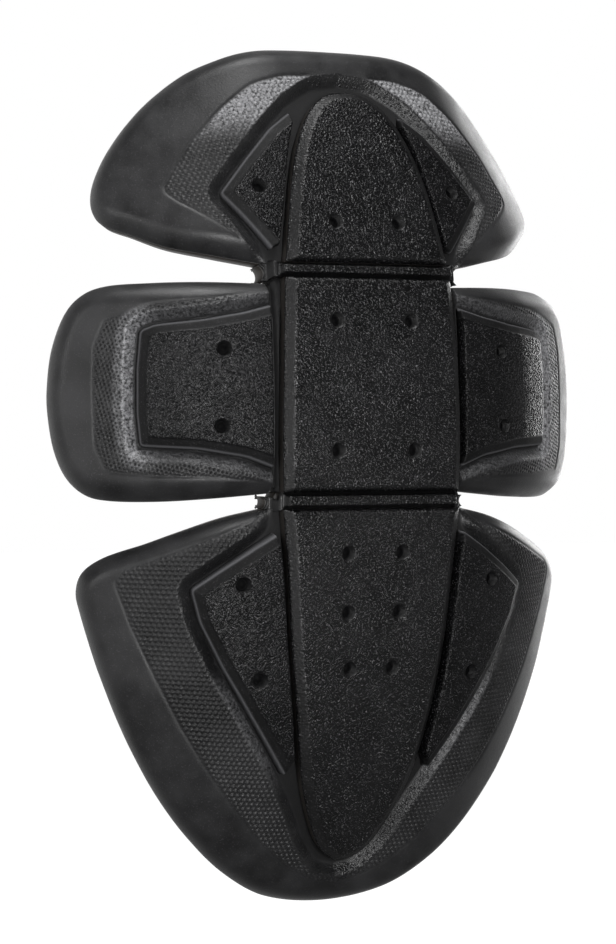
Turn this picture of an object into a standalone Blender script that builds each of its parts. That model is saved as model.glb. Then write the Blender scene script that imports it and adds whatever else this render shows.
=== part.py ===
"""Articulated knee guard: a moulded foam armour pad with a raised spine, two wings and an upper and
a lower lobe, which fold against each other along moulded living hinges.

Every piece is first laid out flat, as a pattern: u runs across the knee, v up the leg and w out
through the thickness, in millimetres. The finished pattern is then bent round the knee.
World frame, in metres: +X to the wearer's left as seen from the front, +Z up the leg and +Y towards
the knee. The origin is the centre of the flat land on the inner face of the middle section.
"""
import math

import bmesh
import bpy

# levels through the thickness, above the reference surface (mm)
BACK = -12.0
WALL_TOP = -5.5
SHOULDER = -2.6
RIM = -0.7
FLOOR = -3.3
PANEL_TOP = 0.0
LOWER_PANEL_TOP = 1.8
SPINE_EDGE = 0.8
SPINE_TOP = 2.2
WEB_TOP = -6.0
BAND_TOP = 1.4

# lengthwise layout (mm)
MIDDLE_TOP = 30.6
MIDDLE_BOTTOM = -30.6
UPPER_START = 34.9
LOWER_START = -35.5
SPINE_HALF = 29.3
WING_START = 31.5

GAP = 0.3
VALLEY_RUN = 4.0
BEVEL_RUN = 2.2
GROOVE_RUN = 0.5
DIMPLE_R = 2.0
DIMPLE_DEPTH = 2.4
CREASE_STEP = 8.0
LAND_Y = 11.5
LAND_HALF_X = 13.0
LAND_HALF_Z = 20.0
HINGE_W = -8.0
WING_HINGE_U = 30.4

# slope of the pad in degrees at distances across (u) and along (v) the pattern
ACROSS = [(0, 0), (14, 0.6), (28, 3), (45, 14.5), (60, 27), (80, 38), (100, 45), (150, 52)]
ALONG = [(-165, -33), (-118, -20), (-84, -9), (-48, -4.5), (-14, -2), (0, 0),
         (22, 4), (57, 12.5), (92, 22), (115, 26)]
# how much tighter than the middle section the cross-section curls, along v
TIGHTER = [(-165, 1.42), (-120, 1.19), (-85, 1.09), (-50, 1.03), (-30, 1), (35, 1), (57, 1.18),
           (75, 1.34), (95, 1.57), (115, 1.57)]

# right-hand halves of the outlines, as (u, v) control points
UPPER_EDGE = [(31.2, 34.9), (46.5, 37.8), (61, 41.5), (72.5, 47.2), (79.7, 51.6), (82.4, 57),
              (82.4, 63.4), (80.1, 70.4), (75.4, 78.6), (68.6, 86.6), (60.2, 93.2), (49, 98.3),
              (37.6, 100.9), (25.7, 102.7), (12.5, 103.2), (0, 103.3)]
LOWER_EDGE = [(31.2, -35.5), (45, -38.2), (58, -42), (70, -46.2), (80.9, -49.9), (87.8, -54.8),
              (89.8, -61), (88.2, -68.1), (83.2, -82.3), (76, -99.6), (68.2, -113.8), (59.1, -126.4),
              (48.4, -137.5), (35.5, -147.3), (19.1, -155.4), (0, -158.3)]
WING_EDGE = [(WING_START, -29.3), (50, -30.8), (66, -32.2), (80, -32.5), (87, -30.8),
             (92.5, -25.5), (96, -18), (97.8, -9), (98.2, 0), (96.8, 12), (93, 22.5), (87.5, 28),
             (80, 30.2), (67, 30), (51, 29.5), (WING_START, 28.6)]
SPINE_TIP_UP = [(26.6, 34.9), (24.3, 48), (21, 62.5), (17.3, 72.5), (12.5, 80.5), (7, 85), (0, 86.5)]
SPINE_TIP_DOWN = [(29.0, -35.5), (27, -56), (25.3, -74), (22.8, -91), (19.6, -108), (15.5, -121.5),
                  (9.5, -134), (4.5, -139), (0, -140.5)]
SPINE_MIDDLE = [(28.9, -30.6), (29.3, -20), (29.2, -8), (28.6, 11), (27.2, 30.6)]
# sunk panels: the side along the valley round them, then the side along the spine's groove
UPPER_VALLEY = [(30.4, 38.8), (38, 48.5), (43.2, 55.5), (36, 67.5), (26, 76.5), (18.6, 81)]
UPPER_INNER = [(18.9, 77), (21.6, 70.5), (24.3, 60), (27, 47.5), (28.7, 40)]
LOWER_VALLEY = [(24, -113), (26.5, -109.5), (36.5, -95), (45.8, -81), (53, -68), (56, -58.2),
                (47.5, -52.2), (38, -46), (31.2, -42)]
LOWER_INNER = [(30.2, -47), (29.6, -56), (27.9, -74), (25.4, -91), (22.8, -107)]
WING_VALLEY = [(WING_START, -24), (40, -21), (54, -18.8), (71, -18), (72, -8), (71.8, 5),
               (70.5, 16.5), (66, 18.2), (52, 19.2), (40, 21), (WING_START, 23)]
WING_INNER = [(WING_START, 16), (WING_START, -16)]
UPPER_POCKET = [(31.2, 34.9), (32.5, 39.5), (38, 48.5), (43.2, 55.5), (36, 67.5), (26, 76.5),
                (18, 83.2), (9.5, 88.2), (0, 89.6)]
LOWER_POCKET = [(31.2, -35.5), (32.5, -41.5), (38, -46), (47.5, -52.2), (56, -58.2), (53, -68),
                (45.8, -81), (36.5, -95), (26.5, -109.5), (19.5, -121), (12, -135), (6, -142),
                (0, -143.5)]

UPPER_DIMPLES = [(32, 57.3)]
UPPER_SPINE_DIMPLES = [(10.3, 46.5)]
MIDDLE_DIMPLES = [(12.2, 18.1), (12.6, -18.8)]
WING_DIMPLES = [(46.3, 10.1), (47.3, -11.9)]
LOWER_DIMPLES = [(40.9, -56.6), (34.8, -83.7)]
LOWER_SPINE_DIMPLES = [(8.9, -48), (8.4, -65), (7, -81.2)]


def blend(value, stops):
    """Value read off a list of (position, value) stops, straight between them."""
    for (a, fa), (b, fb) in zip(stops, stops[1:]):
        if value <= b:
            return fa + (fb - fa) * (value - a) / (b - a)
    return stops[-1][1]


def walk(stops, low, high, step):
    """Where a line of the given slopes gets to: rows of (distance, forward, sideways, slope)."""
    rows = [(low, 0.0, 0.0, math.radians(blend(low, stops)))]
    for i in range(round((high - low) / step)):
        at, along, aside, slope = rows[-1]
        after = math.radians(blend(at + step, stops))
        mid = (slope + after) / 2
        rows.append((at + step, along + step * math.cos(mid), aside + step * math.sin(mid), after))
    return rows


STEP = 0.5
ACROSS_ROWS = walk(ACROSS, 0.0, 150.0, STEP)
ALONG_ROWS = walk(ALONG, -165.0, 115.0, STEP)


def read(rows, at):
    place = (at - rows[0][0]) / STEP
    i = min(len(rows) - 2, max(0, int(place)))
    t = place - i
    return [a + (b - a) * t for a, b in zip(rows[i], rows[i + 1])]


ZERO = read(ALONG_ROWS, 0.0)


def bend(u, v, w):
    """The world position, in metres, of a point of the flat pattern."""
    tight = blend(v, TIGHTER)
    _, across, depth, slope = read(ACROSS_ROWS, abs(u) * tight)
    _, along, back, lean = read(ALONG_ROWS, v)
    x = across / tight + w * math.sin(slope)
    d = depth / tight - w * math.cos(slope)
    y = back - ZERO[2] + d * math.cos(lean) - LAND_Y
    z = along - ZERO[1] - d * math.sin(lean)
    return math.copysign(x, u) / 1000, y / 1000, z / 1000


def curve_through(points, step):
    """Points about a step apart on a smooth curve through the control points."""
    found = []
    for i in range(len(points) - 1):
        a, b = points[i], points[i + 1]
        before = points[i - 1] if i else (2 * a[0] - b[0], 2 * a[1] - b[1])
        after = points[i + 2] if i + 2 < len(points) else (2 * b[0] - a[0], 2 * b[1] - a[1])
        pieces = max(1, round(math.dist(a, b) / step))
        for j in range(pieces):
            t = j / pieces
            found.append(tuple(
                0.5 * (2 * q + (r - p) * t + (2 * p - 5 * q + 4 * r - s) * t ** 2
                       + (3 * q - p - 3 * r + s) * t ** 3)
                for p, q, r, s in zip(before, a, b, after)))
    found.append(points[-1])
    return found


def straight_through(points, step):
    found = []
    for a, b in zip(points, points[1:]):
        pieces = max(1, round(math.dist(a, b) / step))
        found += [(a[0] + (b[0] - a[0]) * j / pieces, a[1] + (b[1] - a[1]) * j / pieces)
                  for j in range(pieces)]
    found.append(points[-1])
    return found


def both_sides(half):
    """A closed outline from its right half, whose last point is on the middle line or whose
    first and last points are joined straight across."""
    left = [(-u, v) for u, v in reversed(half)]
    if abs(half[-1][0]) < 1e-6:
        left = left[1:]
    return anticlockwise(half + left)


def anticlockwise(points):
    area = sum(a[0] * b[1] - b[0] * a[1] for a, b in zip(points, points[1:] + points[:1]))
    return points if area > 0 else points[::-1]


def grown(points, by):
    """The outline moved outwards by a distance, or inwards by a negative one, or each point by
    its own distance from a list."""
    moved = []
    for i, here in enumerate(points):
        step = by[i] if isinstance(by, list) else by
        back, ahead = points[i - 1], points[(i + 1) % len(points)]
        one = normal(back, here)
        two = normal(here, ahead)
        across = (one[0] + two[0], one[1] + two[1])
        long = math.hypot(*across)
        reach = step / max(0.6, long / 2)
        moved.append((here[0] + across[0] / long * reach, here[1] + across[1] / long * reach))
    return moved


def normal(a, b):
    length = math.dist(a, b)
    return (b[1] - a[1]) / length, (a[0] - b[0]) / length


def mirrored(points):
    return [(-u, v) for u, v in reversed(points)]


def loft(sections):
    """A closed flat-pattern solid through outlines of equal point counts, from the back outwards."""
    bm = bmesh.new()
    rings = [[bm.verts.new((u, v, w)) for u, v in outline] for outline, w in sections]
    for low, high in zip(rings, rings[1:]):
        for i in range(len(low)):
            j = (i + 1) % len(low)
            bm.faces.new((low[i], low[j], high[j], high[i]))
    bm.faces.new(rings[0][::-1])
    bm.faces.new(rings[-1])
    return finish_mesh(bm)


def finish_mesh(bm):
    mesh = bpy.data.meshes.new("pattern")
    bmesh.ops.recalc_face_normals(bm, faces=bm.faces)
    bm.to_mesh(mesh)
    bm.free()
    return mesh


def dimple_cutter(u, v, top):
    bm = bmesh.new()
    bmesh.ops.create_cone(bm, cap_ends=True, segments=12, radius1=DIMPLE_R * 0.8, radius2=DIMPLE_R,
                          depth=2 * DIMPLE_DEPTH)
    bmesh.ops.translate(bm, verts=bm.verts, vec=(u, v, top))
    return finish_mesh(bm)


def cut(mesh, cutters):
    """The mesh with every cutter taken out of it."""
    target = bpy.data.objects.new("target", mesh)
    bpy.context.scene.collection.objects.link(target)
    tools = []
    for cutter in cutters:
        tool = bpy.data.objects.new("tool", cutter)
        bpy.context.scene.collection.objects.link(tool)
        tools.append(tool)
        step = target.modifiers.new("cut", "BOOLEAN")
        step.operation = "DIFFERENCE"
        step.solver = "EXACT"
        step.object = tool
    graph = bpy.context.evaluated_depsgraph_get()
    result = bpy.data.meshes.new_from_object(target.evaluated_get(graph))
    for thing in [target] + tools:
        bpy.data.objects.remove(thing)
    return result


def creased(mesh):
    """The flat mesh scored with a grid of straight creases, so that it can follow the bend."""
    bm = bmesh.new()
    bm.from_mesh(mesh)
    bmesh.ops.remove_doubles(bm, verts=bm.verts, dist=1e-4)
    for axis in range(2):
        low = min(v.co[axis] for v in bm.verts)
        high = max(v.co[axis] for v in bm.verts)
        for i in range(math.ceil(low / CREASE_STEP), math.floor(high / CREASE_STEP) + 1):
            at = i * CREASE_STEP
            if at - low > 0.5 and high - at > 0.5:
                facing = (1, 0, 0) if axis == 0 else (0, 1, 0)
                place = (at, 0, 0) if axis == 0 else (0, at, 0)
                bmesh.ops.bisect_plane(bm, geom=bm.verts[:] + bm.edges[:] + bm.faces[:],
                                       plane_co=place, plane_no=facing, dist=0.02)
    bmesh.ops.dissolve_degenerate(bm, edges=bm.edges, dist=0.02)
    bmesh.ops.triangulate(bm, faces=bm.faces)
    bmesh.ops.recalc_face_normals(bm, faces=bm.faces)
    for vertex in bm.verts:
        vertex.co = bend(*vertex.co)
    out = bpy.data.meshes.new("bent")
    bm.to_mesh(out)
    bm.free()
    return out


def material(name, colour, roughness):
    made = bpy.data.materials.new(name)
    made.use_nodes = True
    shader = made.node_tree.nodes["Principled BSDF"]
    shader.inputs["Base Color"].default_value = (*colour, 1)
    shader.inputs["Roughness"].default_value = roughness
    return made


def place(name, mesh, pivot, finish, smooth=False):
    """Puts a bent mesh in the part under its name, with its origin at its hinge."""
    mesh.name = name
    mesh.materials.clear()
    mesh.materials.append(finish)
    for vertex in mesh.vertices:
        vertex.co = [a - b for a, b in zip(vertex.co, pivot)]
    for face in mesh.polygons:
        face.use_smooth = smooth
    thing = bpy.data.objects.new(name, mesh)
    thing.location = pivot
    part.objects.link(thing)
    return thing


def pad_sections(outline):
    return [(outline, BACK), (outline, WALL_TOP), (grown(outline, -1.2), SHOULDER),
            (grown(outline, -4.2), RIM)]


def pocket(outline):
    """Cutter for the sunk floor inside a pad's rim, with sloping sides."""
    return loft([(grown(outline, 0.2), FLOOR), (grown(outline, VALLEY_RUN), RIM),
                 (grown(outline, VALLEY_RUN + 1.5), RIM + 3)])


def panels(name, valley, inner, level, dimples, pivots):
    """The right and left panel of a section, each with its bevel towards the valley round it."""
    along_valley = straight_through(valley, 9)
    along_groove = straight_through(inner, 9)
    foot = grown(along_valley + along_groove, -GAP)
    top = grown(along_valley + along_groove,
                [-BEVEL_RUN] * len(along_valley) + [-GROOVE_RUN] * len(along_groove))
    for side, turned, sign in (("right", list, 1), ("left", mirrored, -1)):
        solid = loft([(turned(foot), FLOOR + GAP), (turned(top), level)])
        dots = [dimple_cutter(sign * u, v, level) for u, v in dimples]
        place(name + "_" + side, creased(cut(solid, dots)), pivots[side], grain)


def plate(outline, dimples):
    solid = loft([(outline, FLOOR + GAP), (outline, SPINE_EDGE), (grown(outline, -2.0), SPINE_TOP)])
    return cut(solid, [dimple_cutter(u, v, SPINE_TOP) for u, v in dimples])


def pairs(points):
    return points + [(-u, v) for u, v in points]


def block(u0, u1, v0, v1, w0, w1):
    outline = anticlockwise([(u0, v0), (u1, v0), (u1, v1), (u0, v1)])
    return loft([(outline, w0), (outline, w1)])


def inner_land():
    """Cutter, already in world metres, that leaves the flat land on the middle pad's inner face."""
    bm = bmesh.new()
    bmesh.ops.create_cube(bm, size=1.0)
    bmesh.ops.scale(bm, verts=bm.verts,
                    vec=(2 * LAND_HALF_X / 1000, 0.01, 2 * LAND_HALF_Z / 1000))
    bmesh.ops.translate(bm, verts=bm.verts, vec=(0, 0.005, 0))
    return finish_mesh(bm)


for left_over in list(bpy.data.objects):
    bpy.data.objects.remove(left_over)
part = bpy.data.collections.new("knee_guard")
bpy.context.scene.collection.children.link(part)

skin = material("pad_skin", (0.035, 0.035, 0.038), 0.62)
grain = material("grain_panel", (0.028, 0.028, 0.03), 0.5)
web = material("hinge_web", (0.03, 0.03, 0.032), 0.58)

at_upper = bend(0, (MIDDLE_TOP + UPPER_START) / 2, HINGE_W)
at_lower = bend(0, (MIDDLE_BOTTOM + LOWER_START) / 2, HINGE_W)
at_right = bend(WING_HINGE_U, 0, HINGE_W)
at_left = bend(-WING_HINGE_U, 0, HINGE_W)
at_middle = (0, 0, 0)

# middle section, the root
middle = creased(block(-SPINE_HALF, SPINE_HALF, MIDDLE_BOTTOM, MIDDLE_TOP, BACK, FLOOR))
place("middle_pad", cut(middle, [inner_land()]), at_middle, skin)
spine = both_sides(straight_through(SPINE_MIDDLE, 8))
place("spine_middle", creased(plate(spine, pairs(MIDDLE_DIMPLES))), at_middle, grain)

# upper and lower lobes
for side, edge, hollow, tip, valley, inner, level, panel_dots, spine_dots, pivot in (
        ("upper", UPPER_EDGE, UPPER_POCKET, SPINE_TIP_UP, UPPER_VALLEY, UPPER_INNER, PANEL_TOP,
         UPPER_DIMPLES, UPPER_SPINE_DIMPLES, at_upper),
        ("lower", LOWER_EDGE, LOWER_POCKET, SPINE_TIP_DOWN, LOWER_VALLEY, LOWER_INNER,
         LOWER_PANEL_TOP, LOWER_DIMPLES, LOWER_SPINE_DIMPLES, at_lower)):
    outer = both_sides(curve_through(edge, 5))
    solid = loft(pad_sections(outer))
    place(side + "_pad", creased(cut(solid, [pocket(both_sides(straight_through(hollow, 9)))])),
          pivot, skin)
    spine = both_sides(curve_through(tip, 7))
    place("spine_" + side, creased(plate(spine, pairs(spine_dots))), pivot, grain)
    panels("panel_" + side, valley, inner, level, panel_dots, {"right": pivot, "left": pivot})

# wings
outer = curve_through(WING_EDGE, 5)
hollow = straight_through([(WING_START - 6, WING_VALLEY[0][1])] + WING_VALLEY
                          + [(WING_START - 6, WING_VALLEY[-1][1])], 9)
panels("panel_wing", WING_VALLEY, WING_INNER, PANEL_TOP, WING_DIMPLES,
       {"right": at_right, "left": at_left})
for side, turned, pivot in (("right", list, at_right), ("left", mirrored, at_left)):
    sign = 1 if side == "right" else -1
    solid = loft(pad_sections(turned(outer)))
    place("wing_" + side, creased(cut(solid, [pocket(turned(hollow))])), pivot, skin)
    u0, u1 = sorted((sign * (SPINE_HALF + GAP), sign * (WING_START - GAP)))
    strip = block(u0, u1, MIDDLE_BOTTOM + GAP, MIDDLE_TOP - GAP, BACK, WEB_TOP)
    place("hinge_wing_" + side, creased(strip), pivot, web)

# living hinges across the pad
strip = block(-29.0, 29.0, MIDDLE_TOP + GAP, UPPER_START - GAP, BACK, BAND_TOP)
place("hinge_upper", creased(strip), at_upper, web)
strip = block(-29.0, 29.0, LOWER_START + GAP, MIDDLE_BOTTOM - GAP, BACK, BAND_TOP)
place("hinge_lower", creased(strip), at_lower, web)
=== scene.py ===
"""The looks of the knee guard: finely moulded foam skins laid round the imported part.

Each visible piece stands for one CAD solid. It is drawn flat first, as a pattern in millimetres
(u across the knee, v up the leg, w out through the thickness), with its relief as a height over
each point, and the finished pattern is then bent round the knee by the same law as the part.
"""

import math

import bpy
import numpy as np
from mathutils import Matrix, Vector
from mathutils.geometry import delaunay_2d_cdt


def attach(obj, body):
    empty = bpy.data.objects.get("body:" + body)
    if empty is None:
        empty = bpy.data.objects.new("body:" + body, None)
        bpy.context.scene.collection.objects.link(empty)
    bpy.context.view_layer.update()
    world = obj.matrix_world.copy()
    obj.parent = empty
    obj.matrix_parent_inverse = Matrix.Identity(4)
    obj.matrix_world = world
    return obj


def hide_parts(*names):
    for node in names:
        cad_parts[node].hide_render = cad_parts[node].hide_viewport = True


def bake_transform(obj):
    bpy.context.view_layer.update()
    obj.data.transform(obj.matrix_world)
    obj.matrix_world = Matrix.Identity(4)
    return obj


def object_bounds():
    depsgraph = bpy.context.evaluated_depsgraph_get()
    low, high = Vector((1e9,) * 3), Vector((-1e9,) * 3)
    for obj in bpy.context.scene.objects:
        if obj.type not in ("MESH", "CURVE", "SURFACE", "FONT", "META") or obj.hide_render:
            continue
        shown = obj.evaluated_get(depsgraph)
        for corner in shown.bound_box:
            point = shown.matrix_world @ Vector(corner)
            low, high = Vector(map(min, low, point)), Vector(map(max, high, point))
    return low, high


# levels through the thickness, as in the part (mm)
BACK = -12.0
WALL_TOP = -5.5
RIM = -0.7
FLOOR = -3.3
PANEL_TOP = 0.0
LOWER_PANEL_TOP = 1.8
SPINE_EDGE = 0.8
SPINE_TOP = 2.2
BAND_TOP = 1.4
WEB_TOP = -5.6
LAND_Y = 11.5
LAND_HALF = (13.0, 20.0)

# lengthwise layout (mm)
MIDDLE_TOP = 30.6
MIDDLE_BOTTOM = -30.6
UPPER_START = 34.9
LOWER_START = -35.5
SPINE_HALF = 29.3
WING_START = 31.5
NOTCH_END = 34.1
GAP = 0.12

# relief (mm)
EDGE_RUN = 7.0
RIM_DROP = 4.5
CREASE = 0.22
VALLEY_RUN = 4.0
BEVEL_RUN = 3.0
CREST_RUN = 0.65
CREST_DROP = 1.3
LIP = 0.22
SHOULDER_RUN = 2.8
DIMPLE_R = 2.05
DIMPLE_FLOOR_R = 1.75
DIMPLE_DEPTH = 2.4
BEAD_PITCH = 1.6
BEAD_HEIGHT = 0.62
BEAD_SINK = 0.36
PIT_PITCH = 1.3
PIT_DEPTH = 0.7
GRAIN_BUMP = 0.165

# mesh spacing (mm)
FINE = 0.34
MEDIUM = 0.7
COARSE = 1.6
SPACINGS = (FINE, MEDIUM, COARSE)
BACK_STEP = 3.2

# slope of the pad in degrees at distances across (u) and along (v) the pattern
ACROSS = [(0, 0), (14, 0.6), (28, 3), (45, 14.5), (60, 27), (80, 38), (100, 45), (150, 52)]
ALONG = [(-165, -33), (-118, -20), (-84, -9), (-48, -4.5), (-14, -2), (0, 0),
         (22, 4), (57, 12.5), (92, 22), (115, 26)]
TIGHTER = [(-165, 1.42), (-120, 1.19), (-85, 1.09), (-50, 1.03), (-30, 1), (35, 1), (57, 1.18),
           (75, 1.34), (95, 1.57), (115, 1.57)]

# right-hand halves of the outlines, as (u, v) control points
UPPER_EDGE = [(31.2, 34.9), (46.5, 37.8), (61, 41.5), (72.5, 47.2), (79.7, 51.6), (82.4, 57),
              (82.4, 63.4), (80.1, 70.4), (75.4, 78.6), (68.6, 86.6), (60.2, 93.2), (49, 98.3),
              (37.6, 100.9), (25.7, 102.7), (12.5, 103.2), (0, 103.3)]
LOWER_EDGE = [(31.2, -35.5), (45, -38.2), (58, -42), (70, -46.2), (80.9, -49.9), (87.8, -54.8),
              (89.8, -61), (88.2, -68.1), (83.2, -82.3), (76, -99.6), (68.2, -113.8), (59.1, -126.4),
              (48.4, -137.5), (35.5, -147.3), (19.1, -155.4), (0, -158.3)]
WING_EDGE = [(31.5, -31.1), (50, -32.6), (66, -33.6), (80, -33.6), (87.5, -32), (93.3, -27),
             (97, -19), (98.8, -9), (99, 0), (97.3, 12), (93, 22.8), (87.5, 28.6), (80, 30.9),
             (67, 30.8), (51, 30.2), (31.5, 29.3)]
SPINE_TIP_UP = [(26.6, 34.9), (24.3, 48), (21, 62.5), (17.3, 72.5), (12.5, 80.5), (7, 85), (0, 86.5)]
SPINE_TIP_DOWN = [(29.0, -35.5), (27, -56), (25.3, -74), (22.8, -91), (19.6, -108), (15.5, -121.5),
                  (9.5, -134), (4.5, -139), (0, -140.5)]
SPINE_MIDDLE = [(28.9, -30.6), (29.3, -20), (29.2, -8), (28.6, 11), (27.2, 30.6)]
UPPER_VALLEY = [(30.4, 38.8), (38, 48.3), (44.2, 55.8), (35.2, 66), (26, 75.6), (18.6, 80.8)]
UPPER_INNER = [(17.9, 77), (20.3, 70.5), (23, 60), (25.7, 47.5), (27.5, 40)]
LOWER_VALLEY = [(24, -113), (26.5, -109.5), (36.5, -95), (45.8, -81), (53, -68), (56, -58.2),
                (47.5, -52.2), (38, -46), (31.2, -42)]
LOWER_INNER = [(29.4, -47), (28.4, -56), (26.6, -74), (24.1, -91), (21.4, -107)]
WING_VALLEY = [(WING_START, -24), (40, -21), (54, -18.8), (71, -18), (72, -8), (71.8, 5),
               (70.5, 16.5), (66, 18.2), (52, 19.2), (40, 21), (WING_START, 23)]
WING_INNER = [(WING_START, 16), (WING_START, -16)]
UPPER_POCKET = [(31.2, 34.9), (32.5, 39.5), (38, 48.3), (44.2, 55.8), (35.2, 66), (26, 75.6), (18, 83),
                (9.5, 88.2), (0, 89.6)]
LOWER_POCKET = [(31.2, -35.5), (32.5, -41.5), (38, -46), (47.5, -52.2), (56, -58.2), (53, -68),
                (45.8, -81), (36.5, -95), (26.5, -109.5), (19.5, -121), (12, -135), (6, -142),
                (0, -143.5)]
# outer edge of the textured band round each pocket
UPPER_BAND = [(31.4, 36), (44, 46), (56.5, 55), (60, 58.8), (50.7, 72), (39.5, 82.4), (29, 89.6),
              (18, 92.2), (0, 92.4)]
LOWER_BAND = [(31.4, -36.5), (60, -47.7), (75.5, -53.5), (77.3, -57), (72.3, -69.3), (64.3, -84.8),
              (56, -99.2), (46.8, -112), (38, -122.5), (28, -133.5), (16.8, -142.5), (8.3, -147),
              (0, -149)]
WING_BAND = [(WING_START, -27.6), (50, -26.2), (66, -26), (80, -25), (83.5, -18), (84, -2), (83.5, 12),
             (80, 20), (66, 23.8), (50, 24.8), (WING_START, 26.8)]

UPPER_DIMPLES = [(32, 57.3)]
UPPER_SPINE_DIMPLES = [(10.3, 46.5)]
MIDDLE_DIMPLES = [(12.2, 18.1), (12.6, -18.8)]
WING_DIMPLES = [(46.3, 10.1), (47.3, -11.9)]
LOWER_DIMPLES = [(40.9, -56.6), (34.8, -83.7)]
LOWER_SPINE_DIMPLES = [(8.9, -48), (8.4, -65), (7, -81.2)]

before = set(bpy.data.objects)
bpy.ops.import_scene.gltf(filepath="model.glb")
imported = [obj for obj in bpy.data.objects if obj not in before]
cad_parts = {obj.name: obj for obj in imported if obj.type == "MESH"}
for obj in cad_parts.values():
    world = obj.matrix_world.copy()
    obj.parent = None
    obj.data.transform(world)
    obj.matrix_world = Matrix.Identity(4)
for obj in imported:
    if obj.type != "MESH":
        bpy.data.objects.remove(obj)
cad_low, cad_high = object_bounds()


# ---------------------------------------------------------------- the law of the bend

def walk(stops, low, high, step=0.5):
    """Rows of (distance, forward, sideways, slope) along a line with the given slopes."""
    at = np.arange(low, high + step / 2, step)
    slope = np.radians(np.interp(at, *zip(*stops)))
    mid = (slope[1:] + slope[:-1]) / 2
    ahead = np.concatenate([[0.0], np.cumsum(np.cos(mid) * step)])
    aside = np.concatenate([[0.0], np.cumsum(np.sin(mid) * step)])
    return at, ahead, aside, slope


ACROSS_ROWS = walk(ACROSS, 0.0, 150.0)
ALONG_ROWS = walk(ALONG, -165.0, 115.0)


def read(rows, at):
    return [np.interp(at, rows[0], column) for column in rows[1:]]


ZERO = read(ALONG_ROWS, 0.0)


def bend(points):
    """World positions, in metres, of an array of (u, v, w) pattern points."""
    u, v, w = np.asarray(points, float).T
    tight = np.interp(v, *zip(*TIGHTER))
    across, depth, slope = read(ACROSS_ROWS, np.abs(u) * tight)
    along, back, lean = read(ALONG_ROWS, v)
    x = across / tight + w * np.sin(slope)
    d = depth / tight - w * np.cos(slope)
    y = back - ZERO[1] + d * np.cos(lean) - LAND_Y
    z = along - ZERO[0] - d * np.sin(lean)
    return np.stack([np.copysign(x, u), y, z], 1) / 1000


# ---------------------------------------------------------------- outlines

def curve_through(points, step):
    """Points about a step apart on a smooth curve through the control points."""
    found = []
    for i in range(len(points) - 1):
        a, b = points[i], points[i + 1]
        before = points[i - 1] if i else (2 * a[0] - b[0], 2 * a[1] - b[1])
        after = points[i + 2] if i + 2 < len(points) else (2 * b[0] - a[0], 2 * b[1] - a[1])
        pieces = max(1, round(math.dist(a, b) / step))
        for j in range(pieces):
            t = j / pieces
            found.append(tuple(
                0.5 * (2 * q + (r - p) * t + (2 * p - 5 * q + 4 * r - s) * t ** 2
                       + (3 * q - p - 3 * r + s) * t ** 3)
                for p, q, r, s in zip(before, a, b, after)))
    found.append(points[-1])
    return found


def straight_through(points, step):
    found = []
    for a, b in zip(points, points[1:]):
        pieces = max(1, round(math.dist(a, b) / step))
        found += [(a[0] + (b[0] - a[0]) * j / pieces, a[1] + (b[1] - a[1]) * j / pieces)
                  for j in range(pieces)]
    found.append(points[-1])
    return found


def softened(points, radius):
    """A polyline with each corner cut by a short arc."""
    found = []
    last = len(points) - 1
    for i, here in enumerate(points):
        if i in (0, last):
            found.append(here)
            continue
        a, b = points[i - 1], points[i + 1]
        la, lb = math.dist(a, here), math.dist(b, here)
        cut = min(radius, 0.45 * la, 0.45 * lb)
        p = tuple(h + (q - h) * cut / la for h, q in zip(here, a))
        r = tuple(h + (q - h) * cut / lb for h, q in zip(here, b))
        for t in (0.0, 0.25, 0.5, 0.75, 1.0):
            found.append(tuple((1 - t) ** 2 * x + 2 * t * (1 - t) * h + t * t * y
                               for x, h, y in zip(p, here, r)))
    return found


def with_mirror(half):
    """The right half of a line from the hinge to the middle line, carried on down the left side."""
    left = [(-u, v) for u, v in reversed(half)]
    return half + (left[1:] if abs(half[-1][0]) < 1e-6 else left)


def mirrored(points):
    return [(-u, v) for u, v in reversed(points)]


def normals(ring):
    """Unit vectors out of an anticlockwise ring, at its points."""
    ahead = np.roll(ring, -1, 0) - ring
    across = 0
    for step in (np.roll(ahead, 1, 0), ahead):
        size = np.hypot(*step.T)[:, None]
        across = across + np.stack([step[:, 1], -step[:, 0]], 1) / np.maximum(size, 1e-9)
    return across / np.hypot(*across.T)[:, None]


def area(points):
    """Signed area, positive where the outline runs anticlockwise."""
    p = np.array(points, float)
    q = np.roll(p, -1, 0)
    return (p[:, 0] * q[:, 1] - q[:, 0] * p[:, 1]).sum() / 2


def anticlockwise(points):
    return list(points) if area(points) > 0 else list(points)[::-1]


def distance(points, line):
    """Distance from each point to a polyline."""
    points = np.asarray(points, np.float32)
    line = np.asarray(line, np.float32)
    (ax, ay), (abx, aby) = line[:-1].T, (line[1:] - line[:-1]).T
    size = np.maximum(abx ** 2 + aby ** 2, 1e-12)
    found = np.empty(len(points))
    for low in range(0, len(points), 4000):
        x = points[low:low + 4000, :1] - ax
        y = points[low:low + 4000, 1:2] - ay
        t = np.clip((x * abx + y * aby) / size, 0, 1)
        x -= t * abx
        y -= t * aby
        found[low:low + 4000] = np.sqrt((x * x + y * y).min(1))
    return found


def inside(points, outline):
    """True for each point that the outline encloses."""
    points = np.asarray(points, float)
    x, y = points[:, 0], points[:, 1]
    found = np.zeros(len(points), bool)
    q = np.asarray(outline, float)
    for a, b in zip(q, np.roll(q, -1, 0)):
        if a[1] == b[1]:
            continue
        hit = ((a[1] > y) != (b[1] > y)) & (x < (b[0] - a[0]) * (y - a[1]) / (b[1] - a[1]) + a[0])
        found ^= hit
    return found


def ramp(x, low=0.0, high=1.0):
    """A smooth rise from 0 at low to 1 at high."""
    t = np.clip((x - low) / (high - low), 0, 1)
    return t * t * (3 - 2 * t)


# ---------------------------------------------------------------- fine relief

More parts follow.
